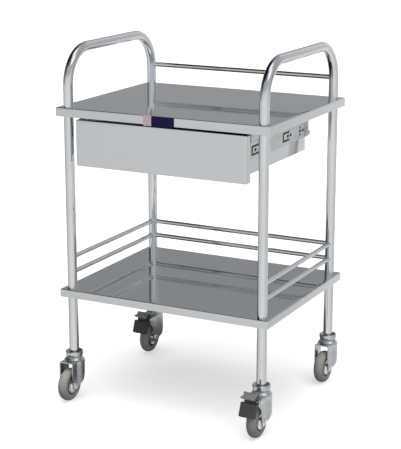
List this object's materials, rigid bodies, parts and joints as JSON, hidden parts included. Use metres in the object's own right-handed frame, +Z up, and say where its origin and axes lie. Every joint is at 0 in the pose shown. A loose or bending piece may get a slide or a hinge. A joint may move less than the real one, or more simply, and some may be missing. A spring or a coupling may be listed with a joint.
{
  "type": "instrument cart",
  "caption": "Stainless instrument cart with two shelves between U tube frames, a drawer on telescopic slides, shelf rails and swivel casters with foot brakes.",
  "frame": {"origin": "middle of the bounding box's underside, on the floor", "axes": "+X to the right of someone facing the drawer, -Y the drawer's way out, +Z up"},
  "size_m": [0.6043, 0.5535, 0.9442],
  "materials": {
    "polished_tube": "polished stainless tube",
    "brushed_sheet": "finely brushed stainless sheet",
    "zinc_slide": "zinc-plated rolled strip",
    "zinc_caster": "zinc-plated pressed steel",
    "bright_metal": "bright plated",
    "dark_steel": "dark plated steel",
    "grey_tyre": "matt grey thermoplastic rubber",
    "black_plastic": "moulded satin",
    "label": "blank printed film"
  },
  "bodies": {
    "frame": {"left_handle_frame": "polished_tube", "right_handle_frame": "polished_tube", "top_shelf": "brushed_sheet", "lower_shelf": "brushed_sheet", "label_plate": "label", "top_back_rail": "polished_tube", "left_lower_rail": "polished_tube", "left_upper_rail": "polished_tube", "right_lower_rail": "polished_tube", "right_upper_rail": "polished_tube", "back_lower_rail": "polished_tube", "back_upper_rail": "polished_tube", "left_slide_hanger": "brushed_sheet", "right_slide_hanger": "brushed_sheet", "left_slide_outer": "zinc_slide", "right_slide_outer": "zinc_slide", "front_left_stem": "zinc_caster", "front_left_stem_cap": "zinc_caster", "front_right_stem": "zinc_caster", "front_right_stem_cap": "zinc_caster", "back_left_stem": "zinc_caster", "back_left_stem_cap": "zinc_caster", "back_right_stem": "zinc_caster", "back_right_stem_cap": "zinc_caster"},
    "drawer": {"drawer_front": "brushed_sheet", "drawer_box": "brushed_sheet", "left_slide_inner": "zinc_slide", "right_slide_inner": "zinc_slide"},
    "left_slide_middle": {"left_slide_middle": "zinc_slide"},
    "right_slide_middle": {"right_slide_middle": "zinc_slide"},
    "front_left_swivel": {"front_left_fork": "zinc_caster", "front_left_axle": "bright_metal"},
    "front_left_wheel": {"front_left_hub": "bright_metal", "front_left_wheel_core": "black_plastic", "front_left_tyre": "grey_tyre"},
    "front_right_swivel": {"front_right_fork": "zinc_caster", "front_right_axle": "bright_metal"},
    "front_right_wheel": {"front_right_hub": "bright_metal", "front_right_wheel_core": "black_plastic", "front_right_tyre": "grey_tyre"},
    "front_right_brake": {"front_right_brake_lever": "dark_steel", "front_right_brake_pad": "black_plastic"},
    "back_left_swivel": {"back_left_fork": "zinc_caster", "back_left_axle": "bright_metal"},
    "back_left_wheel": {"back_left_hub": "bright_metal", "back_left_wheel_core": "black_plastic", "back_left_tyre": "grey_tyre"},
    "back_left_brake": {"back_left_brake_lever": "dark_steel", "back_left_brake_pad": "black_plastic"},
    "back_right_swivel": {"back_right_fork": "zinc_caster", "back_right_axle": "bright_metal"},
    "back_right_wheel": {"back_right_hub": "bright_metal", "back_right_wheel_core": "black_plastic", "back_right_tyre": "grey_tyre"}
  },
  "joints": [
    {"name": "drawer_slide", "type": "slide", "parent": "frame", "child": "drawer", "axis": [0, -1, 0], "range_m": [0, 0.34]},
    {"name": "left_slide_extension", "type": "slide", "parent": "frame", "child": "left_slide_middle", "axis": [0, -1, 0], "range_m": [0, 0.17]},
    {"name": "right_slide_extension", "type": "slide", "parent": "frame", "child": "right_slide_middle", "axis": [0, -1, 0], "range_m": [0, 0.17]},
    {"name": "front_left_swivel_turn", "type": "hinge", "parent": "frame", "child": "front_left_swivel", "pos_m": [-0.27499, -0.18561, 0.11], "axis": [0, 0, 1], "continuous": true},
    {"name": "front_left_wheel_roll", "type": "hinge", "parent": "front_left_swivel", "child": "front_left_wheel", "pos_m": [-0.27499, -0.21321, 0.0437], "axis": [1, 0, 0], "continuous": true},
    {"name": "front_right_swivel_turn", "type": "hinge", "parent": "frame", "child": "front_right_swivel", "pos_m": [0.27441, -0.18561, 0.11], "axis": [0, 0, 1], "continuous": true},
    {"name": "front_right_wheel_roll", "type": "hinge", "parent": "front_right_swivel", "child": "front_right_wheel", "pos_m": [0.27489, -0.2132, 0.0437], "axis": [0.9998, 0.0175, 0], "continuous": true},
    {"name": "front_right_brake_press", "type": "hinge", "parent": "front_right_swivel", "child": "front_right_brake", "pos_m": [0.27523, -0.2326, 0.102], "axis": [0.9998, 0.0175, 0], "range_deg": [0, 12]},
    {"name": "back_left_swivel_turn", "type": "hinge", "parent": "frame", "child": "back_left_swivel", "pos_m": [-0.27499, 0.24899, 0.11], "axis": [0, 0, 1], "continuous": true},
    {"name": "back_left_wheel_roll", "type": "hinge", "parent": "back_left_swivel", "child": "back_left_wheel", "pos_m": [-0.27451, 0.2214, 0.0437], "axis": [0.9998, 0.0175, 0], "continuous": true},
    {"name": "back_left_brake_press", "type": "hinge", "parent": "back_left_swivel", "child": "back_left_brake", "pos_m": [-0.27417, 0.202, 0.102], "axis": [0.9998, 0.0175, 0], "range_deg": [0, 12]},
    {"name": "back_right_swivel_turn", "type": "hinge", "parent": "frame", "child": "back_right_swivel", "pos_m": [0.27441, 0.24899, 0.11], "axis": [0, 0, 1], "continuous": true},
    {"name": "back_right_wheel_roll", "type": "hinge", "parent": "back_right_swivel", "child": "back_right_wheel", "pos_m": [0.27393, 0.2214, 0.0437], "axis": [0.9998, -0.0175, 0], "continuous": true}
  ],
  "couplings": [
    {"joint": "left_slide_extension", "follows": "drawer_slide", "ratio": 0.5},
    {"joint": "right_slide_extension", "follows": "drawer_slide", "ratio": 0.5}
  ]
}
